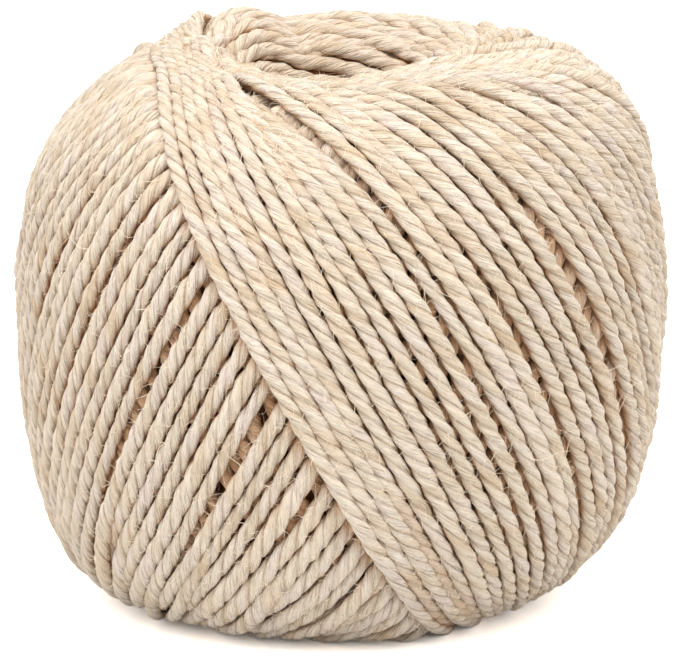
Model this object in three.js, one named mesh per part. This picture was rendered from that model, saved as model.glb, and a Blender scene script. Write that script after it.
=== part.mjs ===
// A machine-wound ball of three-ply sisal twine, standing on end.
//
// The twine goes round and round the ball in closed turns. Each turn runs close to both ends
// without crossing the axis, so the ends sink into an open eye that goes right through. The turns
// step round the axis, and those of the last half step lie on top: they lean one way on one half
// of the side and the other way on the other half. Turns lie in bands of a few strands, which
// stand a little proud along their middles.
//
// Millimetres, +Z along the eye, standing on the flat end at z = 0.
import * as THREE from 'three'

// ---- driving dimensions ----
const BALL_RADIUS = 59.3       // at mid height, to the edges of the bands
const BALL_HEIGHT = 104
const CREST_RADIUS = 25        // circle that the turns touch at each end
const SHOULDER_POWER = 2.5     // 2 is an ellipse, more is squarer
const LIP_RADIUS = 6           // rounding between each end and its funnel
const FUNNEL_ANGLE = THREE.MathUtils.degToRad(27)   // slope of the funnel wall from the axis
const EYE_RADIUS = 11          // bore left by the winding spindle
const FLAT_OUTER_RADIUS = 37   // outer edge of the flat on which the ball stands
const TOP_LEAN = 1.9           // sideways shift of the top end
const BASE_LEAN = -1.5         // sideways shift of the flat end

// ---- winding ----
const TURN_CLOSEST = 26.5      // nearest that a turn comes to the axis
const SWEEP_LIMIT_RADIUS = 26.8   // inside this, a turn's sweep is taken as it is here
const BANDS_PER_HALF = 7       // bands of turns laid in half a step round the axis
const BAND_RELIEF = 1.3        // height of a band's middle above its edges
const LAST_BAND_RISE = 1.3     // how much higher the last bands lie at their free edge
const LAST_BAND_FADE = 2.5     // bands over which that rise dies away
const LAST_EDGE_ANGLE = THREE.MathUtils.degToRad(252)   // where that edge crosses mid height
const RELIEF_FADE = 9          // distance from the ends over which the relief dies away

// ---- facets ----
const COLUMNS = 98             // round the axis: seven for each band
const OUTER_ROWS = 25
const LIP_ROWS = 4
const FUNNEL_ROWS = 3
const BORE_ROWS = 3
const FLAT_ROWS = 2
const TRACE_STEPS = 600        // fine steps along the side, from which the rows are picked

const SISAL = new THREE.MeshStandardMaterial({ color: 0xe0cdad, roughness: 0.92, metalness: 0 })

const MID_HEIGHT = BALL_HEIGHT / 2
const TAU = 2 * Math.PI
const BAND_ANGLE = Math.PI / BANDS_PER_HALF

// Rounded side from the top crest down to the flat, as points [radius, height].
function sidePoint(fraction) {
  const angle = Math.PI / 2 - Math.PI * fraction
  const power = 2 / SHOULDER_POWER
  const innerRadius = fraction < 0.5 ? CREST_RADIUS : FLAT_OUTER_RADIUS
  const radius = innerRadius + (BALL_RADIUS - innerRadius) * Math.abs(Math.cos(angle)) ** power
  const rise = Math.sign(Math.sin(angle)) * MID_HEIGHT * Math.abs(Math.sin(angle)) ** power
  return [radius, MID_HEIGHT + rise]
}

// Even rows down the side. Each row knows how far a turn has swept round the axis since mid height.
function sideRows() {
  const trace = Array.from({ length: TRACE_STEPS + 1 }, (_, i) => sidePoint(i / TRACE_STEPS))
  const lengths = [0]
  for (let i = 1; i <= TRACE_STEPS; i++) {
    const [r0, z0] = trace[i - 1]
    const [r1, z1] = trace[i]
    lengths.push(lengths[i - 1] + Math.hypot(r1 - r0, z1 - z0))
  }
  const sweeps = sweepFromMiddle(trace, lengths)
  const rows = []
  for (let row = 0; row <= OUTER_ROWS; row++) {
    const goal = (lengths[TRACE_STEPS] * row) / OUTER_ROWS
    const passed = lengths.findIndex((length) => length >= goal)
    const i = passed < 0 ? TRACE_STEPS : passed
    rows.push({ radius: trace[i][0], height: trace[i][1], sweep: sweeps[i], outside: true })
  }
  return rows
}

// A tight turn keeps radius * sin(lean) constant, which gives its sweep round the axis.
function sweepFromMiddle(trace, lengths) {
  const sweeps = [0]
  for (let i = 1; i < trace.length; i++) {
    const radius = Math.max(trace[i][0], SWEEP_LIMIT_RADIUS)
    const tangent = TURN_CLOSEST / Math.sqrt(radius ** 2 - TURN_CLOSEST ** 2)
    sweeps.push(sweeps[i - 1] - (tangent / radius) * (lengths[i] - lengths[i - 1]))
  }
  const middle = sweeps[TRACE_STEPS / 2]
  return sweeps.map((sweep) => sweep - middle)
}

// The rounded lip and sloping wall from an end's crest inwards to the bore.
// side is 1 at the top end and -1 at the flat end.
function funnelRows(side) {
  const rows = []
  const lipTurn = Math.PI / 2 - FUNNEL_ANGLE
  const end = MID_HEIGHT + side * MID_HEIGHT
  for (let i = 1; i <= LIP_ROWS; i++) {
    const turn = (lipTurn * i) / LIP_ROWS
    const radius = CREST_RADIUS - LIP_RADIUS * Math.sin(turn)
    rows.push({ radius, height: end - side * LIP_RADIUS * (1 - Math.cos(turn)) })
  }
  const lip = rows[LIP_ROWS - 1]
  const drop = (lip.radius - EYE_RADIUS) / Math.tan(FUNNEL_ANGLE)
  for (let i = 1; i <= FUNNEL_ROWS; i++) {
    const part = i / FUNNEL_ROWS
    const radius = THREE.MathUtils.lerp(lip.radius, EYE_RADIUS, part)
    rows.push({ radius, height: lip.height - side * drop * part })
  }
  return rows
}

// The closed section: down the side, in along the flat, up through the eye and out over the lip.
function sectionRows() {
  const side = sideRows()
  const flat = Array.from({ length: FLAT_ROWS }, (_, i) => {
    const part = (i + 1) / FLAT_ROWS
    return { radius: THREE.MathUtils.lerp(FLAT_OUTER_RADIUS, CREST_RADIUS, part), height: 0 }
  })
  const lower = funnelRows(-1)
  const upper = funnelRows(1).reverse()
  const from = lower.at(-1).height
  const to = upper[0].height
  const bore = Array.from({ length: BORE_ROWS - 1 }, (_, i) => {
    return { radius: EYE_RADIUS, height: THREE.MathUtils.lerp(from, to, (i + 1) / BORE_ROWS) }
  })
  return [...side, ...flat, ...lower, ...bore, ...upper]
}

// Height of the bands above the plain form, at an angle round a row of the side.
function bandRelief(row, angle) {
  const fromLastEdge = THREE.MathUtils.euclideanModulo(angle + row.sweep - LAST_EDGE_ANGLE, TAU)
  const leansBack = fromLastEdge < Math.PI + 2 * row.sweep
  const along = leansBack ? fromLastEdge : angle - row.sweep - LAST_EDGE_ANGLE
  const bands = THREE.MathUtils.euclideanModulo(along, TAU) / BAND_ANGLE
  const crown = Math.abs(Math.sin(Math.PI * bands)) * BAND_RELIEF
  const rise = leansBack ? LAST_BAND_RISE * Math.max(0, 1 - bands / LAST_BAND_FADE) : 0
  const fromEnd = Math.min(row.height, BALL_HEIGHT - row.height)
  return (crown + rise) * THREE.MathUtils.smoothstep(fromEnd, 0, RELIEF_FADE)
}

// The ball leans a little: both ends are shifted sideways, and mid height stays where it is.
function lean(height) {
  const part = (height - MID_HEIGHT) / MID_HEIGHT
  return (part > 0 ? TOP_LEAN : -BASE_LEAN) * part ** 3
}

function woundForm() {
  const rows = sectionRows()
  const positions = []
  for (const row of rows) {
    for (let column = 0; column < COLUMNS; column++) {
      const angle = (TAU * column) / COLUMNS
      const radius = row.radius + (row.outside ? bandRelief(row, angle) : 0)
      positions.push(radius * Math.cos(angle) + lean(row.height), radius * Math.sin(angle), row.height)
    }
  }
  const triangles = []
  for (let i = 0; i < rows.length; i++) {
    for (let column = 0; column < COLUMNS; column++) {
      const next = (column + 1) % COLUMNS
      const here = i * COLUMNS
      const below = ((i + 1) % rows.length) * COLUMNS
      triangles.push(here + column, below + column, below + next)
      triangles.push(here + column, below + next, here + next)
    }
  }
  const geometry = new THREE.BufferGeometry()
  geometry.setAttribute('position', new THREE.Float32BufferAttribute(positions, 3))
  geometry.setIndex(triangles)
  return geometry
}

// Centre the form's box over the origin, with the flat end at z = 0.
function centred(geometry) {
  geometry.computeBoundingBox()
  const middle = geometry.boundingBox.getCenter(new THREE.Vector3())
  geometry.translate(-middle.x, -middle.y, 0)
  geometry.computeVertexNormals()
  return geometry
}

const woundTwine = new THREE.Mesh(centred(woundForm()), SISAL)
woundTwine.name = 'wound_twine'

const ball = new THREE.Group()
ball.add(woundTwine)
export default ball
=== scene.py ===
# A machine-wound ball of three-ply sisal twine, standing on its flat end.
#
# The turns are laid one after another on a height map of the ball, as the winder lays them: each
# rests on the turns beneath it, is pulled taut over them and finds its own groove. Every turn in
# sight is then a real twisted three-ply tube, with stray fibres standing off it.
import math

import bpy
import numpy as np
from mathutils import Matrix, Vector


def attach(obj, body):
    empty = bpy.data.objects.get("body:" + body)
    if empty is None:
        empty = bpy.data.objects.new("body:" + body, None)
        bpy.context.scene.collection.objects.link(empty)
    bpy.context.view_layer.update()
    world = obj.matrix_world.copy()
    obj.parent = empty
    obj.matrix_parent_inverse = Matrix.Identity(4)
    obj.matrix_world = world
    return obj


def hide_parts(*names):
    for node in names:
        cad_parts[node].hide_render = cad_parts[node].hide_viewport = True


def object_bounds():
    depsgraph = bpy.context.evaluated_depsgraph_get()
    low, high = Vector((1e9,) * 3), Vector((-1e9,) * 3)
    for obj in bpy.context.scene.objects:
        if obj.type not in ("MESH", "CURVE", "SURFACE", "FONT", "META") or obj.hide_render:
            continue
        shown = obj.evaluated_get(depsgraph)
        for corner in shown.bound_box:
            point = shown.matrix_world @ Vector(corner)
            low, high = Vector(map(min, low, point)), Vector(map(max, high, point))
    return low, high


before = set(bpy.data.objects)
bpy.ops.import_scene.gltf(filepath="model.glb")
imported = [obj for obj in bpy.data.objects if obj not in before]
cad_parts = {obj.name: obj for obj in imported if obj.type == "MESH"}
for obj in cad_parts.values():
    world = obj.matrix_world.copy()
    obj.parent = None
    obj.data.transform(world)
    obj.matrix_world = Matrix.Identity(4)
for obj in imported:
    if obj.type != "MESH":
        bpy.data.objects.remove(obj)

cad_low, cad_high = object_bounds()
random = np.random.default_rng(45)

# ---- the ball, in metres ----
MM = 0.001
BALL_HEIGHT = cad_high.z - cad_low.z
BALL_RADIUS = 59.5 * MM  # to the middle of the outer turns' crowns
TOP_LEVEL, BASE_LEVEL = BALL_HEIGHT + 0.1 * MM, 0.6 * MM  # of the two ends, likewise
MID_HEIGHT = (TOP_LEVEL + BASE_LEVEL) / 2
CREST_RADIUS = 25.0 * MM  # circle that the turns touch at each end
FLAT_RADIUS = 33.0 * MM  # outer edge of the flat on which the ball stands
LIP_RADIUS = 8.5 * MM  # rounding between an end and its funnel
FUNNEL_ANGLE = math.radians(27)  # slope of the funnel wall from the axis
EYE_RADIUS = 11.0 * MM  # bore left by the winding spindle
TOP_POWER, BASE_POWER = 2.50, 2.22  # the shoulders' shape: 2 is an ellipse, more is squarer
TOP_LEAN, BASE_LEAN = -0.5 * MM, -2.0 * MM  # sideways shift of the two ends
AXIS_Y = 0.5 * MM  # the eye's axis, from the frame's origin
SIDE_CURVE = 58 * MM  # radius over which a taut turn bends, down the side
BASE_EDGE = 46 * MM  # low turns nearer the axis than this are the flat end's
LIP_POINTS, SIDE_POINTS = 12, 401  # of the section, round the lip and down the side
# Dips in the top's rim: degrees round, how far it reaches each way, depth.
DIPS = [(260, 38, 3.2 * MM), (100, 50, -0.7 * MM), (162, 10, 1.9 * MM), (134, 16, -3.3 * MM),
        (112, 8, 1.8 * MM)]
DIP_REACH = 12.0 * MM  # in and out from the rim
# Swells in the side: degrees round, reach, share of half the height, reach, outwards.
SWELLS = [(182, 50, 0.95, 0.24, -3.9 * MM), (0, 55, 0.90, 0.33, 3.4 * MM),
          (195, 45, -0.75, 0.25, 0.9 * MM), (335, 35, -0.85, 0.14, -0.9 * MM)]
SWELL_FROM, SWELL_OVER = 28 * MM, 10 * MM  # radius where swells begin, and room to grow in

# ---- the twine ----
TWINE = 2.86 * MM  # its diameter
HALF = TWINE / 2
LAY_LENGTH = 13.2 * MM  # in which the three plies go once round each other
PLIES = 3
FLATTENED, SPREAD = 0.95, 1.09  # a laid turn's height and width, as shares of its diameter
PRESSED_FLATTER, PRESSED_WIDER = 0.06, 0.08  # and how much more so where it is pressed
PRESSED_DEPTH, PRESSED_FILL = 0.95, 0.55  # there its skin evens out towards this, by this share
# Round a ply's lobe of 4, 3 or 2 points, from its groove: turned by, radius, depth in the groove.
# The depth in the groove sets how much painted shade the groove gets.
LOBES = {
    4: [(0, 0.75, 1.0), (26, 0.93, 0.3), (60, 1.02, 0.0), (94, 0.93, 0.3)],
    3: [(0, 0.75, 1.0), (40, 0.98, 0.1), (80, 0.98, 0.1)],
    2: [(0, 0.78, 1.0), (60, 1.02, 0.0)],
}
# Unevenness along the twine: its size, and how many points long its swells are.
THICK_SWELLS, THICK_LUMPS = (0.065, 22), (0.035, 4)
THINNEST, THICKEST = 0.84, 1.17  # as shares of the plain thickness
LONG_SLACK, SHORT_SLACK = (0.06, 30), (0.09, 7)  # of the lay's length
TONE_DRIFT = (0.5, 60)  # of the whole twine's colour
PLY_TONE_REACH = 9  # of each ply's colour
LUMP_LINES, LUMP_REACH, LUMP_SIZE = 12, 2.2, 0.05  # lines of small lumps round the twine
# Painted brown shade on a turn where its skin faces in: the cosine of where that starts, and its
# range.
TUCK_FROM, TUCK_OVER = 0.40, 0.60
PRESSED_TUCK = 0.5  # share of it lost where turns are pressed flat

# ---- the winding ----
TURN_CLOSEST = 27.3 * MM  # nearest that a plain turn comes to the axis
LEG_SWEEP = math.radians(182)  # round the axis, from one end to the other
LAST_TOP_ANGLE = math.radians(169.5)  # where the last turn goes over the top end
LAID_TURNS = 112  # the outermost turns, which are laid one by one
STEP = 1.0 * MM  # between the points of a turn
FINE_STEPS = 8  # in each step, while a leg's path is worked out
WANDER = (0.30 * MM, 16)  # a turn's wavering sideways: its size and reach
HELD_STRAIGHT = 26  # the newest legs, which lie side by side as a band
HELD_WANDER = 0.4  # share of the wavering that is left to them
HELD_FREEDOM = 0.1  # and of their slipping into the grooves beneath
TIGHTER = 0.12  # how much thinner they are where they bend over an end
# The gaps between the newest turns, newest first, in degrees round the axis.
DOWN_GAPS = [3.9, 3.7, 4.2, 3.6]
UP_GAPS = [2.85, 2.7, 2.45, 2.85, 3.5, 3.5, 3.6, 3.5, 4.0, 4.2, 3.4, 3.1, 4.7, 3.2]
# Older turns lie in close groups with wide gaps between. Shares of the even gap: mean, spread.
GROUP_SIZES = (2, 6)
CLOSE_GAP, WIDE_GAP = (0.86, 0.07), (1.38, 0.14)
TREND_TURNS = 20  # over which the newest turns' own gaps give way to the even one
# How far outwards the newest turns lie where they pass an end, newest first, in mm.
TOP_SHIFTS = [9.6, 6.4, 3.3, 0.8, -1.6, -2.8, -2.4, 3.2, 3.6, 4.2, 4.4, 1.2, -0.9]
BASE_SHIFTS = [2.0, 0.5, -1.0]
# Older turns slip off the pile by runs: turns in a run, where it ends, its length, spread, in mm.
SLIP_RUN, SLIP_LOW, SLIP_LENGTH, SLIP_SPREAD = (4, 9), (-1.7, 0.5), (2.5, 7.0), 0.4
SHIFT_SWEEP = math.radians(52)  # an end's shift fades within this far from it
EASE_POWER = 0.7  # how soon a leg leaves the ends' spacing for its own
# How far the newest turns, newest first, have slid back on their way up to the top end, in mm.
SLIDES = [0, 0, 0, 0, 0, 0, 0, 1.0, 2.0, 3.2, 4.7, 2.4, 2.1, 1.8, 1.4, 1.0, 0.6, 0.3]
SLIDE_AT, SLIDE_REACH = math.radians(50), math.radians(22)  # before that end

# ---- laying the turns on a height map ----
COLUMNS = 760
ROW = 0.5 * MM
ACROSS = np.linspace(-1, 1, 9)  # places across a turn, as shares of its half width
SQUEEZED = 0.84  # turns press each other to this share of their width
ROUNDNESS = 0.98  # of a turn's back: 1 is a half circle
CROSSING_SINK = 0.80 * MM  # a turn beds this far into the ones that it crosses
SIDEWAYS = np.array([-1.2, -0.6, 0, 0.6, 1.2]) * MM  # the slips that a turn tries
SLIP_GAIN, SLIP_LIMIT = 0.5 * MM, 1.3 * MM  # fall that is worth a slip, and how far it goes
TAUT_PASSES = 70  # over a leg, while it is pulled taut
LEVEL_ROUND, LEVEL_ALONG = 18, 16  # columns and rows to level the surface over
LEGS_PER_PRESS = 4
PROUD_FROM, PROUD_ROOM = 1.2 * MM, 1.8 * MM  # a turn higher than this pushes the others in
STAMP_STEP = 0.18  # points of a turn between its marks on the map
STAMP_WIDTH = 15  # marks across it
FILLED_BELOW = -6.0 * MM  # old turns fill the ball at least up to here
END_FROM, END_OVER = 0.25, 0.35  # slope at which the side turns into an end, and its range
CROSSING_ANGLE, CROSSING_RISE = math.radians(140), 2.6 * MM  # where the last turns cross
CROSSING_ROUND, CROSSING_ALONG = math.radians(20), 9 * MM  # reach of their hump
TUCKED_POINTS, TUCKED_DEPTH = 14, 3.5 * MM  # the last turn's end, tucked in
# Presses once all is laid: reach, and share on the side and at the ends.
FINAL_PRESSES = [(1.0, (1.0, 1.0)), (0.5, (0.5, 1.0)), (0.25, (0.2, 0.9)), (0.25, (0.0, 0.8))]

# ---- which turns show ----
PATH_SMOOTHING = 1.4  # points over which the laid path is smoothed
CLEAR_OF_FLOOR = 0.9  # lowest that a turn's middle lies, in half widths
NEAR = 6  # cells of the map: what surrounds a turn
SUNK_FROM, SUNK_OVER = 0.9, 1.2 * MM  # a turn gets painted brown shade this many half widths below it, over so far
PRESSED_SUNK = 0.7  # share of that lost near the ends
SEEN_DOWN_TO = 0.5 * MM  # it shows at most so far below the lowest place there
TOPMOST_WITHIN = 0.8 * MM  # and is an outer one at most so far below the topmost

# ---- the turns inside the eye ----
WALL_PITCH = 2.9 * MM  # between neighbouring turns, down the wall
WALL_FALL = 4.4 * MM / math.radians(57)  # down the wall, for each radian round
WALL_STEP = math.radians(-30)  # from one turn to the next one laid
WALL_SEEN = math.radians(85)  # how far round each turn shows
WALL_HIDDEN = math.radians(24)  # how far it goes on beneath others, at each end
WALL_SINK, WALL_DIVE = 0.3 * MM, 2.6 * MM  # how deep it lies, and how much deeper once hidden
WALL_WAVER = (0.15 * MM, 6)  # up and down along it
WALL_UNEVEN = (0.25 * MM, math.radians(5), 0.06)  # spread of its depth, its angle and its fall
MOUTH, THROAT, BORE_END = 2.5 * MM, 24.0 * MM, 57.0 * MM  # depths down the wall from the crest
WALL_SHADE = 0.12  # how much painted brown shade it gets

# ---- loose fibres ----
FUZZ = dict(count=34000, lengths=(0.8 * MM, 3.4 * MM), rise=(0.1 * MM, 0.8 * MM),
            width=(0.05 * MM, 0.10 * MM), swing=0.45, points=3)
LONG_FIBRES = dict(count=750, lengths=(4 * MM, 12 * MM), rise=(0.2 * MM, 2.0 * MM),
                   width=(0.06 * MM, 0.11 * MM), swing=1.3, points=9)
ROOT_SPREAD, ROOT_DEPTH = 0.9, 0.9  # radians round the twine, and share of its half width
HEADING = 0.5  # mean angle from the way the twine runs, in radians
SHORTER = 1.6  # power by which short fibres outnumber long ones
BEND, WAVE = 0.55, 0.09  # sideways, as shares of the length
LIFT_POWERS = (0.6, 2.0)  # from springing up at once to lifting late
TAPER, ROLL = 0.55, 0.6  # how much a fibre narrows, and the spread of its roll
FIBRE_CLEARANCE = 0.15 * MM  # above the floor

# ---- camera and floor ----
FLOOR_SIZE = 3.0
ELEVATION, DISTANCE = math.radians(13.0), 0.93
LENS, SENSOR = 265.0, 36.0
AIM = Vector((-0.2 * MM, AXIS_Y, MID_HEIGHT - 2.4 * MM))


def smooth_line(values, reach, axis=0):
    """Gaussian blur along one axis by reach samples. The end values carry on past the ends."""
    values = np.moveaxis(values, axis, 0)
    half = max(1, int(3 * reach))
    weights = np.exp(-0.5 * (np.arange(-half, half + 1) / reach) ** 2)
    weights /= weights.sum()
    padded = np.concatenate([np.repeat(values[:1], half, 0), values, np.repeat(values[-1:], half, 0)])
    blurred = sum(w * padded[i:i + len(values)] for i, w in enumerate(weights))
    return np.moveaxis(blurred, 0, axis)


def smooth_round(field, reach):
    """Gaussian blur of a field by reach columns, round the ball."""
    waves = np.fft.rfftfreq(len(field))[:, None]
    blur = np.exp(-2 * (math.pi * reach * waves) ** 2)
    return np.fft.irfft(np.fft.rfft(field, axis=0) * blur, len(field), axis=0)


def smooth_noise(count, reach):
    """Wandering values of unit spread, whose swells are about reach samples long."""
    line = smooth_line(random.standard_normal(count), reach)
    return line / (line.std() + 1e-9)


def uneven(count, size, reach):
    return size * smooth_noise(count, reach)


# ---- the form ----
def form_outline():
    """The ball's section as points [radius, height]: from the middle of the bore up the funnel to
    the top crest, down the side, in along the flat and up the other funnel."""
    turn = np.linspace(math.pi / 2 - FUNNEL_ANGLE, 0, LIP_POINTS)
    lip_r = CREST_RADIUS - LIP_RADIUS * np.sin(turn)
    lip_drop = LIP_RADIUS * (1 - np.cos(turn))
    wall_drop = lip_drop[0] + (lip_r[0] - EYE_RADIUS) / math.tan(FUNNEL_ANGLE)
    half_height = TOP_LEVEL - MID_HEIGHT
    funnel_r = np.concatenate([[EYE_RADIUS, EYE_RADIUS], lip_r])
    funnel_drop = np.concatenate([[half_height, wall_drop], lip_drop])
    angle = np.linspace(math.pi / 2, -math.pi / 2, SIDE_POINTS)[1:-1]
    power = 2 / np.where(angle > 0, TOP_POWER, BASE_POWER)
    inner = np.where(angle > 0, CREST_RADIUS, FLAT_RADIUS)
    side_r = inner + (BALL_RADIUS - inner) * np.cos(angle) ** power
    side_z = MID_HEIGHT + half_height * np.sign(angle) * np.abs(np.sin(angle)) ** power
    return np.concatenate([
        np.column_stack([funnel_r, TOP_LEVEL - funnel_drop]),
        np.column_stack([side_r, side_z]),
        [[FLAT_RADIUS, BASE_LEVEL]],
        np.column_stack([funnel_r, BASE_LEVEL + funnel_drop])[::-1],
    ])


class Form:
    """The ball's surface of revolution, read at a distance along its section."""

    def __init__(self):
        outline = form_outline()
        lengths = np.concatenate([[0], np.cumsum(np.hypot(*np.diff(outline, axis=0).T))])
        self.along = np.arange(0, lengths[-1], ROW)
        even = np.column_stack([np.interp(self.along, lengths, outline[:, i]) for i in (0, 1)])
        even = smooth_line(even, 2.0)
        slope = np.gradient(even, ROW, axis=0)
        slope /= np.hypot(*slope.T)[:, None]
        self.radius, self.height = even.T
        self.slope = slope[:, 0]
        self.slope_size = np.abs(smooth_line(self.slope, 8.0))
        self.out_r, self.out_z = -slope[:, 1], slope[:, 0]
        self.rows = len(self.along)
        self.crest = self.along[np.argmax(self.height)]
        inside = (self.along > self.crest) & (self.radius < CREST_RADIUS)
        self.base_crest = self.along[np.argmax(inside)]
        low_down = (self.along > self.crest) & (self.height < MID_HEIGHT)
        self.base_edge = self.along[np.argmax(low_down & (self.radius < BASE_EDGE))]

    def read(self, name, along):
        return np.interp(along, self.along, getattr(self, name))

    def place(self, angle, along, proud):
        """Points in space at an angle round, a distance along and a height above the form."""
        out_r, out_z = self.read("out_r", along), self.read("out_z", along)
        radius = self.read("radius", along) + proud * out_r
        height = self.read("height", along) + proud * out_z
        return upright(angle, radius, height)

    def outward(self, angle, along):
        out_r, out_z = self.read("out_r", along), self.read("out_z", along)
        return np.column_stack([out_r * np.cos(angle), out_r * np.sin(angle), out_z])


def upright(angle, radius, height):
    """Points in space from their angle, radius and height, with the ball's slight lean and the
    dips and swells of its winding."""
    part = (height - MID_HEIGHT) / (TOP_LEVEL - MID_HEIGHT)
    lean = np.where(part > 0, TOP_LEAN, -BASE_LEAN) * part ** 3
    rim = np.clip(part, 0, 1) ** 6 * np.exp(-((radius - CREST_RADIUS) / DIP_REACH) ** 2)
    outside = np.clip((radius - SWELL_FROM) / SWELL_OVER, 0, 1)

    def round_about(degrees, reach):
        apart = (np.degrees(angle) - degrees + 180) % 360 - 180
        return np.exp(-(apart / reach) ** 2)

    for degrees, reach, level, level_reach, out in SWELLS:
        near = np.exp(-((part - level) / level_reach) ** 2) * outside
        radius = radius + out * near * round_about(degrees, reach)
    for degrees, reach, depth in DIPS:
        height = height - depth * rim * round_about(degrees, reach)
    return np.column_stack([radius * np.cos(angle) + lean, radius * np.sin(angle) + AXIS_Y, height])


form = Form()


# ---- the path of one leg, from the top end to the flat end ----
def plain_leg():
    """Distances along the section and angles swept for a taut leg, at even steps along it."""
    top = (form.along > form.crest) & (form.along < form.crest + FLAT_RADIUS - LIP_RADIUS)
    start = np.interp(TURN_CLOSEST, form.radius[top], form.along[top])
    fine = STEP / FINE_STEPS
    along, swept, lean = start, 0.0, math.pi / 2
    path = [(along, swept)]
    while along < start + LIP_RADIUS or lean < math.pi / 2:
        radius = float(form.read("radius", along))
        lean -= float(form.read("slope", along)) * math.sin(lean) / radius * fine
        along += math.cos(lean) * fine
        swept += math.sin(lean) / radius * fine
        path.append((along, swept))
    path = np.array(path)[::FINE_STEPS]
    return path[:, 0], path[:, 1] * LEG_SWEEP / path[-1, 1]


leg_along, leg_swept = plain_leg()
LEG_POINTS = len(leg_along)
LEGS = 2 * LAID_TURNS


# ---- how evenly the turns are spaced ----
def spacing_drift(first):
    """How far each turn strays round the axis from an even spacing, newest first. first gives the
    gaps of the newest turns."""
    even = math.degrees(2 * LEG_SWEEP - 2 * math.pi)
    gaps = list(first)
    while len(gaps) < LAID_TURNS:
        group = random.integers(*GROUP_SIZES)
        gaps += list(random.normal(CLOSE_GAP[0] * even, CLOSE_GAP[1] * even, group))
        gaps.append(random.normal(WIDE_GAP[0] * even, WIDE_GAP[1] * even))
    drift = np.cumsum(np.array(gaps[:LAID_TURNS]) - even)
    drift = np.concatenate([[0], drift[:-1]])
    turn = np.arange(LAID_TURNS)
    trend = np.polyval(np.polyfit(turn, drift, 1), turn)
    settle = np.minimum(turn / TREND_TURNS, 1)
    return np.radians(drift - settle * trend)


def end_shifts(first):
    """How far outwards each turn lies where it passes an end, newest first. Turns slip off the
    pile that they make there, each further than the last, and then start again."""
    shifts = list(first)
    while len(shifts) < LAID_TURNS + 1:
        run = random.integers(*SLIP_RUN)
        low = random.normal(*SLIP_LOW)
        high = low + random.uniform(*SLIP_LENGTH)
        shifts += list(np.linspace(high, low, run) + random.normal(0, SLIP_SPREAD, run))
    return np.array(shifts[:LAID_TURNS + 1]) * MM


def laid_path():
    """Angle round and distance along for every leg, oldest first. Odd legs, counted from the
    newest at 0, go up from the flat end and even ones come down."""
    down_drift, up_drift = spacing_drift(DOWN_GAPS), spacing_drift(UP_GAPS)
    top_shifts, base_shifts = end_shifts(TOP_SHIFTS), end_shifts(BASE_SHIFTS)
    drift = np.empty(LEGS)
    drift[0::2], drift[1::2] = down_drift, up_drift
    legs = []
    part = leg_swept / LEG_SWEEP
    ease = np.clip(np.sin(math.pi * part), 0, 1) ** EASE_POWER
    near_start = np.exp(-(leg_swept / SHIFT_SWEEP) ** 2)
    near_end = near_start[::-1]
    sliding = np.exp(-((LEG_SWEEP - leg_swept - SLIDE_AT) / SLIDE_REACH) ** 2)
    for leg in range(LEGS):
        turn = leg // 2
        before, own, after = drift[min(leg + 1, LEGS - 1)], drift[leg], drift[max(leg - 1, 0)]
        ends = (before + own) / 2 * (1 - part) + (after + own) / 2 * part
        angle = LAST_TOP_ANGLE + LEG_SWEEP * leg - leg_swept + own * ease + ends * (1 - ease)
        if leg % 2 == 0:
            along = leg_along.copy()
            along += top_shifts[turn] * near_start - base_shifts[turn] * near_end
        else:
            along = leg_along[::-1].copy()
            along += top_shifts[turn] * near_end - base_shifts[turn + 1] * near_start
            step = across_of(angle, along)
            slide = SLIDES[turn] * MM if turn < len(SLIDES) else 0
            angle = angle - slide * sliding * step[0]
            along = along - slide * sliding * step[1]
        legs.append((angle, along))
    return legs[::-1]


# ---- laying the turns ----
def across_of(angle, along):
    """Unit steps across the path, as angle and distance along."""
    radius = np.maximum(form.read("radius", along), EYE_RADIUS)
    round_step = np.gradient(angle) * radius
    along_step = np.gradient(along)
    size = np.hypot(round_step, along_step)
    return -along_step / size / radius, round_step / size


def cells(angle, along):
    """The height map's column and row at each place."""
    column = np.floor(angle / (2 * math.pi) * COLUMNS).astype(int) % COLUMNS
    row = np.clip((along / ROW).astype(int), 0, form.rows - 1)
    return column, row


class HeightMap:
    """The height of the topmost turn over every part of the form.

    Turns pile up towards the ends and press what lies beneath them into the ball. sunk is how
    far that has gone, and the heights are measured from there.
    """

    def __init__(self):
        self.top = np.full((COLUMNS, form.rows), -HALF)
        self.sunk = np.zeros((COLUMNS, form.rows))

    def press_down(self, reach=1.0, share=1.0):
        """Sinks the whole winding until its smoothed surface is level with the form."""
        level = smooth_round(self.top, LEVEL_ROUND * reach)
        level = share * smooth_line(level, LEVEL_ALONG * reach, axis=1)
        self.sunk += level
        self.top = np.maximum(self.top - level, FILLED_BELOW)

    def sunk_at(self, angle, along):
        return self.sunk[cells(angle, along)]

    def support(self, angle, along, step, half):
        """The lowest height at which a turn's middle clears what lies under it."""
        best = np.full(len(angle), -1.0)
        for share in ACROSS:
            aside = share * half * SQUEEZED
            under = self.top[cells(angle + aside * step[0], along + aside * step[1])]
            best = np.maximum(best, under + half * math.sqrt(1 - ROUNDNESS * share ** 2))
        return best

    def stamp(self, angle, along, height, half):
        step = across_of(angle, along)
        place = np.arange(0, len(angle) - 1, STAMP_STEP)

        def fine(values):
            return np.interp(place, np.arange(len(values)), values)[:, None]

        share = np.linspace(-1, 1, STAMP_WIDTH)[None, :]
        aside = share * fine(half) * SQUEEZED
        at_angle = fine(angle) + aside * fine(step[0])
        at_along = fine(along) + aside * fine(step[1])
        top = fine(height) + fine(half) * np.sqrt(1 - ROUNDNESS * share ** 2)
        np.maximum.at(self.top, cells(at_angle, at_along), top)


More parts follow.
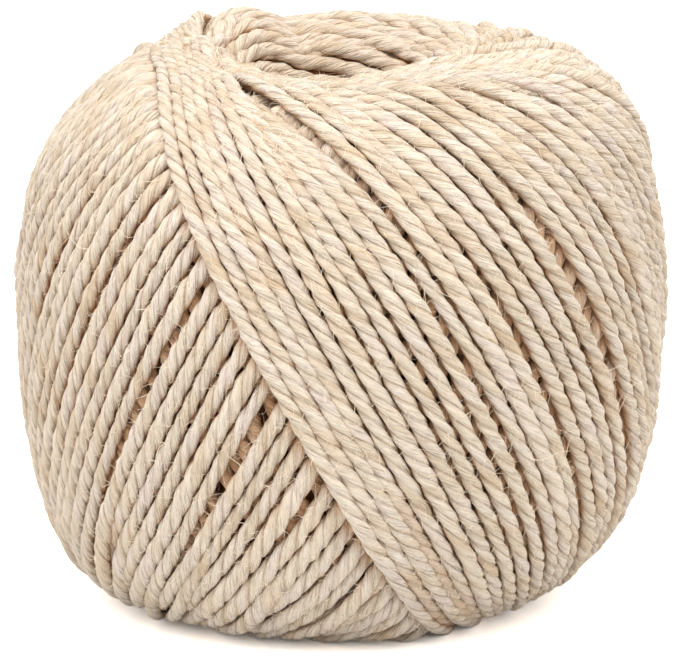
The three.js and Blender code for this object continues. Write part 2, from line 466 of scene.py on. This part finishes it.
def settle_sideways(heights, angle, along, half, freedom):
    """Lets a turn slip a little sideways into the grooves beneath it."""
    step = across_of(angle, along)
    tried = [heights.support(angle + shift * step[0], along + shift * step[1], step, half)
             for shift in SIDEWAYS]
    tried = smooth_line(np.array(tried).T, 4.0).T
    cost = tried / SLIP_GAIN + (SIDEWAYS[:, None] / SLIP_LIMIT) ** 2
    weight = np.exp(-(cost - cost.min(0)))
    shift = freedom * smooth_line((weight * SIDEWAYS[:, None]).sum(0) / weight.sum(0), 5.0)
    return angle + shift * step[0], along + shift * step[1]


def pull_taut(support, start):
    """The height of a taut turn over its supports."""
    curve = STEP ** 2 / (2 * SIDE_CURVE)
    height = support.copy()
    if start is not None:
        height[0] = max(start, support[0])
    for _ in range(TAUT_PASSES):
        middle = (height[:-2] + height[2:]) / 2 - curve
        height[1:-1] = np.maximum(support[1:-1], middle)
    return smooth_line(height, 1.2)


def pushed_in(height):
    """A turn that would stand too proud is pulled into what lies under it instead."""
    over = np.maximum(height - PROUD_FROM, 0)
    return np.where(over > 0, PROUD_FROM + PROUD_ROOM * (1 - np.exp(-over / PROUD_ROOM)), height)


def share_at(share):
    """A share for every row: share[0] along the side, growing to share[1] at the two ends."""
    near_end = np.clip((form.slope_size - END_FROM) / END_OVER, 0, 1)
    return share[0] + (share[1] - share[0]) * near_end


def wind():
    """Lays every leg in turn. Returns the topmost heights, and one long path: angle, distance
    along, height above the form, half width and leg."""
    heights = HeightMap()
    made, held, last_height = [], None, None
    total = LEGS * LEG_POINTS
    thickness = 1 + uneven(total, *THICK_SWELLS) + uneven(total, *THICK_LUMPS)
    wander = uneven(total, *WANDER)
    wander[-HELD_STRAIGHT * LEG_POINTS:] *= HELD_WANDER
    for leg, (angle, along) in enumerate(laid_path()):
        part = slice(leg * LEG_POINTS, (leg + 1) * LEG_POINTS)
        half = HALF * np.clip(thickness[part], THINNEST, THICKEST)
        freedom = 1.0
        if leg >= LEGS - HELD_STRAIGHT:
            half = half * (1 - TIGHTER * np.interp(along, form.along, share_at((0, 1))))
            freedom = HELD_FREEDOM
        step = across_of(angle, along)
        angle, along = angle + wander[part] * step[0], along + wander[part] * step[1]
        for _ in range(2):
            angle, along = settle_sideways(heights, angle, along, half, freedom)
        support = heights.support(angle, along, across_of(angle, along), half) - CROSSING_SINK
        height = pushed_in(pull_taut(support, last_height))
        if held is not None:
            heights.stamp(*held)
        held = (angle, along, height, half)
        last_height = height[-1]
        deep = height + heights.sunk_at(angle, along)
        made.append(np.array([angle, along, deep, half, np.full(LEG_POINTS, leg)]))
        if leg % LEGS_PER_PRESS == 0:
            before = heights.sunk_at(angle, along)
            heights.press_down()
            held = (angle, along, height + before - heights.sunk_at(angle, along), half)
            last_height = held[2][-1]
    heights.stamp(*held)
    for reach, share in FINAL_PRESSES:
        heights.press_down(reach, share_at(share))
    path = np.concatenate(made, axis=1)
    path[2] -= heights.sunk_at(path[0], path[1])
    crossing = np.exp(-((path[0] % (2 * math.pi) - CROSSING_ANGLE) / CROSSING_ROUND) ** 2)
    crossing *= np.exp(-((path[1] - form.crest) / CROSSING_ALONG) ** 2)
    path[2] += np.where(path[4] >= LEGS - HELD_STRAIGHT, CROSSING_RISE * crossing, 0)
    path[2, -TUCKED_POINTS:] -= np.linspace(0, TUCKED_DEPTH, TUCKED_POINTS)
    return heights.top, path


# ---- what shows ----
def lowest_near(field, reach):
    """The lowest value within reach cells each way."""
    low = field.copy()
    for shift in range(1, reach + 1):
        low = np.minimum(low, np.minimum(np.roll(field, shift, 0), np.roll(field, -shift, 0)))
    wide = low.copy()
    for shift in range(1, reach + 1):
        wide[:, shift:] = np.minimum(wide[:, shift:], low[:, :-shift])
        wide[:, :-shift] = np.minimum(wide[:, :-shift], low[:, shift:])
    return wide


def widened(flags, reach):
    """True wherever a flag is set within reach places."""
    return np.convolve(flags, np.ones(2 * reach + 1), "same") > 0.5


def runs_of(flags, shortest=4):
    """The stretches [start, stop) over which flags is true."""
    edges = np.diff(np.concatenate([[0], flags.astype(int), [0]]))
    starts, stops = np.nonzero(edges == 1)[0], np.nonzero(edges == -1)[0]
    return [(a, b) for a, b in zip(starts, stops) if b - a >= shortest]


# ---- twine ----
def unit(vectors):
    return vectors / np.maximum(np.linalg.norm(vectors, axis=1), 1e-12)[:, None]


class Twine:
    """A length of twine: its middle line, which way is out, its half width and its twist. pressed
    is how far it is squashed flat, and depth_shade the painted shade for how deep it lies, both up to
    1."""

    def __init__(self, places, outward, half, pressed, depth_shade):
        count = len(places)
        self.places, self.half = places, half
        self.pressed, self.depth_shade = pressed + 0 * half, depth_shade + 0 * half
        self.ahead = unit(np.gradient(places, axis=0))
        self.out = unit(outward - (outward * self.ahead).sum(1)[:, None] * self.ahead)
        self.aside = np.cross(self.ahead, self.out)
        steps = np.linalg.norm(np.diff(places, axis=0, prepend=places[:1]), axis=1)
        self.length = np.cumsum(steps)
        slack = 1 + uneven(count, *LONG_SLACK) + uneven(count, *SHORT_SLACK)
        self.twist = -2 * math.pi * np.cumsum(steps / (LAY_LENGTH * slack))
        self.twist += random.uniform(0, 2 * math.pi)
        self.lumps = np.column_stack([smooth_noise(count, LUMP_REACH) for _ in range(LUMP_LINES)])
        self.ply_tone = np.column_stack([smooth_noise(count, PLY_TONE_REACH) for _ in range(PLIES)])
        self.ply_tone += uneven(count, *TONE_DRIFT)[:, None]


def tube_faces(run, sides):
    """The skins of closed tubes, from the number of each ring's tube: the quads, the triangles of
    the fans over the tips, whose middles come after all the rings, and the ring at each tip."""
    joint = np.nonzero(run[1:] == run[:-1])[0][:, None] * sides
    side = np.arange(sides)
    after = (side + 1) % sides
    quads = [joint + side, joint + after, joint + sides + after, joint + sides + side]
    first = np.nonzero(np.diff(run, prepend=-1))[0]
    last = np.nonzero(np.diff(run, append=-1))[0]
    middles = len(run) * sides + np.arange(2 * len(first))
    near, far = (np.repeat(part[:, None], sides, 1) for part in np.split(middles, 2))
    start, end = first[:, None] * sides, last[:, None] * sides
    fans = np.concatenate([np.stack([start + after, start + side, near], -1),
                           np.stack([end + side, end + after, far], -1)])
    return np.stack(quads, -1).reshape(-1, 4), fans.reshape(-1, 3), np.concatenate([first, last])


def twine_mesh(name, twine, runs, lobe_points, finish, skip=1):
    """The given stretches of a twine as closed three-lobed twisted tubes, in one mesh."""
    sides = PLIES * lobe_points
    lobe = np.array(LOBES[lobe_points], float)
    turned = np.radians(np.concatenate([lobe[:, 0] + 360 / PLIES * ply for ply in range(PLIES)]))
    reach, groove = np.tile(lobe[:, 1], PLIES), np.tile(lobe[:, 2], PLIES)

    stretches = [np.arange(start, stop, skip) for start, stop in runs]
    rings = np.concatenate(stretches)
    run = np.repeat(np.arange(len(runs)), [len(stretch) for stretch in stretches])
    quads, fans, tips = tube_faces(run, sides)

    angle = twine.twist[rings][:, None] + turned
    pressed = twine.pressed[rings][:, None]
    lumps = twine.lumps[rings][:, np.linspace(0, LUMP_LINES - 1, sides).astype(int)]
    reach = reach + (PRESSED_DEPTH - reach) * PRESSED_FILL * pressed
    radius = twine.half[rings][:, None] * reach * (1 + LUMP_SIZE * lumps)
    high, wide = FLATTENED - PRESSED_FLATTER * pressed, SPREAD + PRESSED_WIDER * pressed
    skin = (twine.places[rings][:, None]
            + twine.out[rings][:, None] * (radius * np.cos(angle) * high)[..., None]
            + twine.aside[rings][:, None] * (radius * np.sin(angle) * wide)[..., None])
    skin[..., 2] = np.maximum(skin[..., 2], 0.0)
    vertices = np.concatenate([skin.reshape(-1, 3), twine.places[rings[tips]]])

    tone = twine.ply_tone[rings][:, np.repeat(np.arange(PLIES), lobe_points)]
    # Painted shade: the skin browns where it faces in, and more on turns that lie deep between others.
    tucked = np.clip((TUCK_FROM - np.cos(angle)) / TUCK_OVER, 0, 1) * (1 - PRESSED_TUCK * pressed)
    tucked = np.clip(tucked + twine.depth_shade[rings][:, None], 0, 1)
    lay = np.empty(skin.shape)
    lay[..., 0], lay[..., 1] = HALF * np.cos(turned), HALF * np.sin(turned)
    lay[..., 2] = twine.length[rings][:, None]
    values = {
        "tone": np.concatenate([tone.ravel(), np.zeros(len(tips))]),
        "groove": np.concatenate([np.tile(groove, len(rings)), np.ones(len(tips))]),
        "tucked": np.concatenate([tucked.ravel(), np.ones(len(tips))]),
        "lay": np.concatenate([lay.reshape(-1, 3), np.zeros((len(tips), 3))]),
    }
    layout = strip_layout(len(quads) // sides, sides, len(fans))
    return mesh_piece(name, vertices, [quads, fans], finish, layout, values)


def strip_layout(joints, sides, tips):
    """Lays skins out flat with no two faces over each other: the quads round each joint as a
    ladder, the ladders in rows, and the tip triangles in a grid above them."""
    ladders_top, tips_tall, margin = 0.95, 0.05, 0.04
    per_row = max(8, math.ceil(math.sqrt(joints * 10.0)))
    rows = math.ceil(joints / per_row)
    cell = np.arange(joints)
    left = (cell % per_row) / per_row
    right = left + 0.999 / per_row
    edge = (np.arange(sides + 1) / sides * (1 - 2 * margin) + margin) / rows
    row = (cell // per_row)[:, None] / rows
    low, high = (row + edge[None, :-1]) * ladders_top, (row + edge[None, 1:]) * ladders_top
    left, right = left[:, None] + 0 * low, right[:, None] + 0 * low
    quads = np.stack([left, low, left, high, right, high, right, low], -1)
    if not tips:
        return quads.ravel()
    tips_in_row = math.ceil(math.sqrt(tips * 20.0))
    wide, tall = 1 / tips_in_row, tips_tall / math.ceil(tips / tips_in_row)
    x = (np.arange(tips) % tips_in_row) * wide
    y = ladders_top + (np.arange(tips) // tips_in_row) * tall
    corners = [x, y, x + 0.9 * wide, y, x, y + 0.9 * tall]
    return np.concatenate([quads.ravel(), np.stack(corners, -1).ravel()])


def added(name, data):
    piece = bpy.data.objects.new(name, data)
    bpy.context.scene.collection.objects.link(piece)
    return piece


def mesh_piece(name, vertices, face_sets, finish, layout=None, values=None):
    """A smooth-shaded mesh object from arrays. values are numbers or vectors, one a vertex."""
    mesh = bpy.data.meshes.new(name)
    corners = np.concatenate([faces.ravel() for faces in face_sets]).astype(np.int32)
    sizes = np.concatenate([np.full(len(faces), faces.shape[1]) for faces in face_sets])
    starts = np.concatenate([[0], np.cumsum(sizes)[:-1]]).astype(np.int32)
    mesh.vertices.add(len(vertices))
    mesh.vertices.foreach_set("co", vertices.astype(np.float32).ravel())
    mesh.loops.add(len(corners))
    mesh.loops.foreach_set("vertex_index", corners)
    mesh.polygons.add(len(sizes))
    mesh.polygons.foreach_set("loop_start", starts)
    mesh.update(calc_edges=True)
    mesh.shade_smooth()
    if layout is not None:
        mesh.uv_layers.new(name="OFBake").uv.foreach_set("vector", layout.astype(np.float32))
    for key, held in (values or {}).items():
        kind, field = ("FLOAT", "value") if held.ndim == 1 else ("FLOAT_VECTOR", "vector")
        layer = mesh.attributes.new(key, kind, "POINT")
        layer.data.foreach_set(field, held.astype(np.float32).ravel())
    mesh.materials.append(finish)
    piece = added(name, mesh)
    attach(piece, "root")
    return piece


# ---- finishes ----
class Wire:
    """A value in a finish's node tree. Arithmetic on it adds the nodes that work it out."""

    def __init__(self, finish, socket):
        self.finish, self.socket = finish, socket

    def worked(self, operation, other):
        return self.finish.node("ShaderNodeMath", {"operation": operation}, {0: self, 1: other})

    def __add__(self, other):
        return self.worked("ADD", other)

    def __mul__(self, other):
        return self.worked("MULTIPLY", other)

    __radd__, __rmul__ = __add__, __mul__


class Finish:
    """The node tree of a material, or of the world, made node by node."""

    def __init__(self, owner):
        owner.use_nodes = True
        self.owner, self.tree = owner, owner.node_tree
        self.tree.nodes.clear()

    def node(self, kind, settings=None, values=None, output=0):
        """Adds a node, with its settings and then its sockets' values or links, as a Wire."""
        made = self.tree.nodes.new(kind)
        for key, value in (settings or {}).items():
            if key == "stops":
                for element, (place, level) in zip(made.color_ramp.elements, value):
                    element.position, element.color = place, (level, level, level, 1)
            else:
                setattr(made, key, value)
        for key, value in (values or {}).items():
            if isinstance(value, Wire):
                self.tree.links.new(value.socket, made.inputs[key])
            else:
                made.inputs[key].default_value = value
        return Wire(self, made.outputs[output]) if len(made.outputs) else None

    def read(self, name, output="Fac"):
        return self.node("ShaderNodeAttribute", {"attribute_name": name}, output=output)

    def blend(self, share, first, second):
        """A colour between first and second."""
        return self.node("ShaderNodeMix", {"data_type": "RGBA", "clamp_factor": True},
                         {0: share, 6: first, 7: second}, output=2)

    def grain(self, place, factors, detail=2.0, rough=0.5):
        """Noise over a place that is first stretched by the factors: larger ones make it finer."""
        place = self.node("ShaderNodeVectorMath", {"operation": "MULTIPLY"}, {0: place, 1: factors})
        return self.node("ShaderNodeTexNoise", {"noise_dimensions": "3D"},
                         {"Vector": place, "Scale": 1.0, "Detail": detail, "Roughness": rough})

    def ramp(self, value, stops):
        """A number that goes from the first stop to the second: each a value and its result."""
        return self.node("ShaderNodeValToRGB", {"stops": stops}, {0: value})

    def surface(self, values):
        shader = self.node("ShaderNodeBsdfPrincipled", {}, values)
        self.node("ShaderNodeOutputMaterial", {}, {"Surface": shader})
        return self.owner


def material(name):
    return Finish(bpy.data.materials.new(name))


def linear(*levels):
    """A colour written as levels from 11 to 255, as the linear light that shaders use."""
    return (*(((level / 255 + 0.055) / 1.055) ** 2.4 for level in levels), 1.0)


STRAW = linear(228, 213, 193)
PALE_STRAW = linear(242, 233, 218)
GREY_STRAW = linear(229, 215, 205)
TAN_STRAW = linear(212, 188, 158)
# Painted shade: these colours stand in for shade in grooves, gaps and the ball's inside.
PAINTED_SHADE_TAN = linear(150, 114, 80)
PAINTED_SHADE_BROWN = linear(202, 152, 106)
PAINTED_SHADE_CORE = linear(150, 82, 44)
PALE_FIBRE = linear(238, 224, 202)


def sisal_finish():
    """Dry plied sisal: fine fibres along the plies, with painted shade as thin dark lines between them
    and in the grooves, and painted brown shade where turns press together or lie beneath others."""
    finish = material("sisal_twine")
    lay = finish.read("lay", "Vector")
    tone, groove, tucked = finish.read("tone"), finish.read("groove"), finish.read("tucked")
    fibres = finish.grain(lay, (3000, 3000, 380), 3.0, 0.65)
    threads = finish.grain(lay, (3800, 3800, 330), 1.0)
    streaks = finish.grain(lay, (1000, 1000, 110))
    mottle = finish.grain(lay, (260, 260, 60)) + tone * 0.07
    colour = STRAW
    for grain, stops, share, tint in [(fibres, [(0.40, 0), (0.66, 1)], 0.7, PALE_STRAW),
                                      (mottle, [(0.26, 1), (0.50, 0)], 0.8, GREY_STRAW),
                                      (mottle, [(0.50, 0), (0.78, 1)], 0.8, TAN_STRAW),
                                      (streaks, [(0.50, 0), (0.72, 1)], 0.45, TAN_STRAW),
                                      # thin dark lines between fibres: painted shade
                                      (threads, [(0.24, 1), (0.40, 0)], 0.55, PAINTED_SHADE_TAN)]:
        colour = finish.blend(finish.ramp(grain, stops) * share, colour, tint)
    # Painted shade in the grooves between plies, broken up along them.
    broken = finish.ramp(streaks, [(0.35, 0.4), (0.6, 1)])
    squared = groove * groove
    colour = finish.blend(squared * squared * broken * 0.65, colour, PAINTED_SHADE_TAN)
    # Painted shade, brown, where turns face in, press together or lie beneath others.
    colour = finish.blend(tucked * 0.85, colour, PAINTED_SHADE_BROWN)
    bump = finish.node("ShaderNodeBump", {}, {"Strength": 1.0, "Distance": 0.0006,
                                              "Height": fibres + streaks * 0.6 + threads * 0.9})
    return finish.surface({"Base Color": colour, "Roughness": 0.76 + fibres * 0.15,
                           "Normal": bump, "Specular IOR Level": 0.22})


def core_finish():
    """Old turns deep in the ball, seen only between the outer ones, streaked dark brown as painted
    shade.
    """
    finish = material("sisal_in_shade")
    place = finish.node("ShaderNodeTexCoord", output="Object")
    streaks = finish.grain(place, (600, 600, 150), 3.0)
    # Painted shade: streaked between dark brown and the brown of the gaps.
    colour = finish.blend(finish.ramp(streaks, [(0.45, 0), (0.8, 1)]), PAINTED_SHADE_CORE, PAINTED_SHADE_BROWN)
    bump = finish.node("ShaderNodeBump", {}, {"Strength": 0.6, "Distance": 0.0006,
                                              "Height": streaks})
    return finish.surface({"Base Color": colour, "Roughness": 0.9, "Normal": bump})


# ---- the pieces ----
def in_thirds(runs):
    """The stretches in three lists of like length, the newest turns' first."""
    length = sum(stop - start for start, stop in runs)
    thirds, count = [[]], 0
    for start, stop in reversed(runs):
        if count > length / 3 * len(thirds):
            thirds.append([])
        thirds[-1].insert(0, (start, stop))
        count += stop - start
    return thirds


def outer_turns(finish):
    """The outermost turns, in pieces by age, and the turns seen through their gaps. Returns the
    pieces, the whole twine and its outermost stretches."""
    top, (angle, along, proud, half, leg) = wind()
    places = smooth_line(form.place(angle, along, proud), PATH_SMOOTHING)
    places[:, 2] = np.maximum(places[:, 2], half * CLEAR_OF_FLOOR)
    here = cells(angle, along)
    around = smooth_line(smooth_round(top, NEAR), NEAR, axis=1)[here]
    pressed = np.interp(along, form.along, share_at((0, 1))) * (leg < LEGS - HELD_STRAIGHT)
    # Painted shade on turns that lie deep between the others.
    depth_shade = np.clip((around - proud - SUNK_FROM * half) / SUNK_OVER, 0, 1)
    depth_shade = depth_shade * (1 - PRESSED_SUNK * pressed)
    twine = Twine(places, form.outward(angle, along), half, pressed, depth_shade)
    shows = proud + half > lowest_near(top, NEAR)[here] - SEEN_DOWN_TO
    on_top = widened(shows & (proud + half > top[here] - TOPMOST_WITHIN), 4)
    beneath = widened(shows & ~on_top, 3)
    at_base = along > form.base_edge
    runs = runs_of(on_top & ~at_base)
    made = [twine_mesh(name, twine, third, 4, finish)
            for name, third in zip(("newest_turns", "middle_turns", "older_turns"), in_thirds(runs))]
    made += [twine_mesh("base_turns", twine, runs_of(on_top & widened(at_base, 1)), 3, finish),
             twine_mesh("turns_beneath", twine, runs_of(beneath), 2, finish)]
    return made, twine, runs


# ---- inside the eye ----
def wall_turns(edge, way, down, up_to):
    """Old turns in the eye's wall, laid one after another from the depth down to the depth up_to.
    The wall starts at edge along the section and goes the given way."""
    depth_spread, angle_spread, fall_spread = WALL_UNEVEN
    rise = WALL_PITCH * WALL_SEEN / (2 * math.pi)
    count = int((down - up_to) / rise)
    angles, alongs, prouds = [], [], []
    for turn in range(count):
        depth = down - rise * turn + random.normal(0, depth_spread)
        tangent = LAST_TOP_ANGLE + WALL_STEP * (turn - count) + random.normal(0, angle_spread)
        fall = WALL_FALL * random.normal(1, fall_spread)
        radius = float(form.read("radius", edge + way * max(depth, 0)))
        spread = WALL_SEEN + 2 * WALL_HIDDEN
        points = max(12, int(spread * radius / STEP))
        swept = np.linspace(-WALL_HIDDEN, WALL_SEEN + WALL_HIDDEN, points)
        under = np.clip(np.maximum(-swept, swept - WALL_SEEN) / WALL_HIDDEN + 0.15, 0, 1)
        angles.append(tangent + swept)
        alongs.append(edge + way * (depth - fall * swept))
        prouds.append(uneven(points, *WALL_WAVER) - HALF - WALL_SINK - WALL_DIVE * under ** 2)
    joined = [np.concatenate(held) for held in (angles, alongs, prouds)]
    stops = np.cumsum([len(held) for held in angles])
    runs = [(stop - len(held) + 1, stop - 1) for stop, held in zip(stops, angles)]
    return joined, runs


def eye_turns(finish):
    """The walls of both funnels, and of the bore between them in less detail."""
    made = []
    walls = [("top_eye_turns", form.crest, -1, THROAT, MOUTH, 4, 1),
             ("top_bore_turns", form.crest, -1, BORE_END, THROAT + 2 * MM, 3, 2),
             ("base_eye_turns", form.base_crest, 1, THROAT, MOUTH, 3, 1),
             ("base_bore_turns", form.base_crest, 1, BORE_END, THROAT + 2 * MM, 3, 2)]
    for name, edge, way, down, up_to, lobe_points, skip in walls:
        (angle, along, proud), runs = wall_turns(edge, way, down, up_to)
        half = np.full(len(angle), HALF)
        twine = Twine(form.place(angle, along, proud), form.outward(angle, along), half, 0, WALL_SHADE)
        made.append(twine_mesh(name, twine, runs, lobe_points, finish, skip))
    return made


def core():
    """The close-packed inside of the ball, under the turns that show and nearer them in the eye."""
    columns, deepest, shallower = 120, 6.2 * MM, 3.0 * MM
    lead, fade = 4 * MM, 6 * MM
    along = form.along[::8]
    in_eye = np.clip((form.crest + lead - along) / fade, 0, 1)
    in_eye += np.clip((along - form.base_crest + lead) / fade, 0, 1)
    deep = deepest - shallower * in_eye
    angle = np.linspace(0, 2 * math.pi, columns, endpoint=False)
    rings = [form.place(angle, np.full(columns, at), -depth) for at, depth in zip(along, deep)]
    row, column = np.arange(len(rings))[:, None] * columns, np.arange(columns)
    after_row, after = np.roll(row, -1, 0), np.roll(column, -1)
    quads = np.stack([row + column, after_row + column, after_row + after, row + after], -1)
    quads = quads.reshape(-1, 4)
    return mesh_piece("packed_core", np.concatenate(rings), [quads], core_finish())


# ---- loose fibres ----
def fibre_lines(twine, runs, count, lengths, rise, swing, points):
    """The middle lines of fibres that start in the twine, swing over its neighbours and end free,
    up to rise above them. Returns each one's points, and its ways sideways and out."""
    rings = np.concatenate([np.arange(start + 1, stop - 1) for start, stop in runs])
    start = random.choice(rings, count)
    turned = random.normal(0, ROOT_SPREAD, count)[:, None]
    heading = random.normal(HEADING, swing, count)[:, None]
    heading += math.pi * random.integers(0, 2, count)[:, None]
    out, aside, ahead = twine.out[start], twine.aside[start], twine.ahead[start]
    root = twine.places[start] + twine.half[start][:, None] * ROOT_DEPTH * (
        out * np.cos(turned) + aside * np.sin(turned))
    way = ahead * np.cos(heading) + aside * np.sin(heading)
    sideways = np.cross(out, way)
    length = lengths[0] + (lengths[1] - lengths[0]) * random.uniform(0, 1, count) ** SHORTER
    length = length[:, None]
    along = np.linspace(0, 1, points)[None, :]
    run = length * along
    swerve = random.normal(0, BEND, count)[:, None] * along ** 2 * length
    swerve += random.normal(0, WAVE, count)[:, None] * np.sin(2 * math.pi * along) * length
    lift = random.uniform(*rise, count)[:, None]
    lift = lift * along ** random.uniform(*LIFT_POWERS, count)[:, None]
    drop = run ** 2 / (2 * SIDE_CURVE)
    line = (root[:, None] + way[:, None] * run[..., None] + sideways[:, None] * swerve[..., None]
            + out[:, None] * (lift - drop)[..., None])
    line[..., 2] = np.maximum(line[..., 2], FIBRE_CLEARANCE)
    return line, sideways, out


def stray_fibres(name, twine, runs, finish, count, lengths, rise, width, swing, points):
    """Fine fibres that stand off the plies, as flat tapering ribbons in one mesh."""
    line, sideways, out = fibre_lines(twine, runs, count, lengths, rise, swing, points)
    narrowing = 1 - TAPER * np.linspace(0, 1, points)[None, :] ** 2
    half = random.uniform(*width, count)[:, None] / 2 * narrowing
    roll = random.normal(0, ROLL, count)[:, None]
    edge = (sideways * np.cos(roll) + out * np.sin(roll))[:, None] * half[..., None]
    vertices = np.stack([line - edge, line + edge], 2).reshape(-1, 3)
    here = (np.arange(count) * points * 2)[:, None] + (np.arange(points - 1) * 2)[None, :]
    quads = np.stack([here, here + 1, here + 3, here + 2], -1).reshape(-1, 4)
    tone = np.repeat(random.normal(0, 1, count), points * 2)
    layout = strip_layout(len(quads), 1, 0)
    return mesh_piece(name, vertices, [quads], finish, layout, {"tone": tone})


def fibre_finish():
    """Loose sisal fibres: pale and a little shiny."""
    finish = material("loose_fibre")
    tone = finish.ramp(finish.read("tone") * 0.2 + 0.5, [(0.4, 0), (0.9, 1)])
    colour = finish.blend(tone * 0.6, PALE_FIBRE, TAN_STRAW)
    return finish.surface({"Base Color": colour, "Roughness": 0.5, "Specular IOR Level": 0.4})


sisal, loose = sisal_finish(), fibre_finish()
pieces, outer_twine, outer_runs = outer_turns(sisal)
pieces += eye_turns(sisal)
pieces += [core(), stray_fibres("fuzz", outer_twine, outer_runs, loose, **FUZZ),
           stray_fibres("long_fibres", outer_twine, outer_runs, loose, **LONG_FIBRES)]
for piece in pieces:
    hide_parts("wound_twine")


# ---- floor, light and camera ----
def seen_apart(finish, kind, lit, seen, output):
    """Ends a node tree that the camera sees one way, straight or in a reflection, and that lights
    the ball another way."""
    def ray(name):
        return finish.node("ShaderNodeLightPath", output=name)

    lit, seen = (finish.node(kind, {}, values) for values in (lit, seen))
    rays = ray("Is Camera Ray") + ray("Is Glossy Ray") + ray("Is Transmission Ray")
    share = finish.node("ShaderNodeClamp", {}, {"Value": rays})
    both = finish.node("ShaderNodeMixShader", {}, {0: share, 1: lit, 2: seen})
    finish.node(output, {}, {"Surface": both})


def floor_finish():
    """A pale matt floor. The camera sees it brighter, so that only the ball's shadow shows."""
    finish = material("pale_floor")
    seen_apart(finish, "ShaderNodeBsdfDiffuse", {"Color": (0.76, 0.76, 0.76, 1)},
               {"Color": (2.55, 2.53, 2.51, 1)}, "ShaderNodeOutputMaterial")
    return finish.owner


def floor():
    corners = np.array([[-1, -1, 0], [1, -1, 0], [1, 1, 0], [-1, 1, 0]]) * FLOOR_SIZE / 2
    mesh = bpy.data.meshes.new("floor")
    mesh.from_pydata(corners.tolist(), [], [(0, 1, 2, 3)])
    mesh.materials.append(floor_finish())
    added("floor", mesh)


def surroundings():
    """Soft light from all round, and a white background for the camera."""
    world = bpy.data.worlds.new("studio")
    bpy.context.scene.world = world
    seen_apart(Finish(world), "ShaderNodeBackground",
               {"Color": (1.0, 0.985, 0.965, 1), "Strength": 0.92},
               {"Color": (1, 1, 1, 1), "Strength": 1.0}, "ShaderNodeOutputWorld")


def pointed(name, data, place, way):
    """Adds a lamp or a camera at a place, facing the given way."""
    piece = added(name, data)
    piece.location = place
    piece.rotation_mode = "QUATERNION"
    piece.rotation_quaternion = way.to_track_quat("-Z", "Y")
    return piece


def softbox(name, place, size, power, colour):
    """A round soft lamp that faces the middle of the ball."""
    light = bpy.data.lights.new(name, "AREA")
    light.shape, light.size, light.energy, light.color = "DISK", size, power, colour
    pointed(name, light, place, Vector((0, 0, MID_HEIGHT)) - Vector(place))


def camera():
    back = Vector((0, -math.cos(ELEVATION), math.sin(ELEVATION)))
    data = bpy.data.cameras.new("camera")
    data.sensor_width, data.lens = SENSOR, LENS
    bpy.context.scene.camera = pointed("camera", data, AIM + back * DISTANCE, -back)


floor()
surroundings()
softbox("overhead_light", (-0.05, -0.27, 0.88), 0.8, 7.3, (1.0, 0.99, 0.97))
softbox("left_light", (-0.9, -0.45, 0.35), 0.6, 1.8, (1.0, 0.99, 0.98))
softbox("right_light", (0.9, -0.35, 0.35), 0.6, 1.9, (1.0, 0.99, 0.98))
camera()
bpy.context.scene.view_settings.view_transform = "Standard"
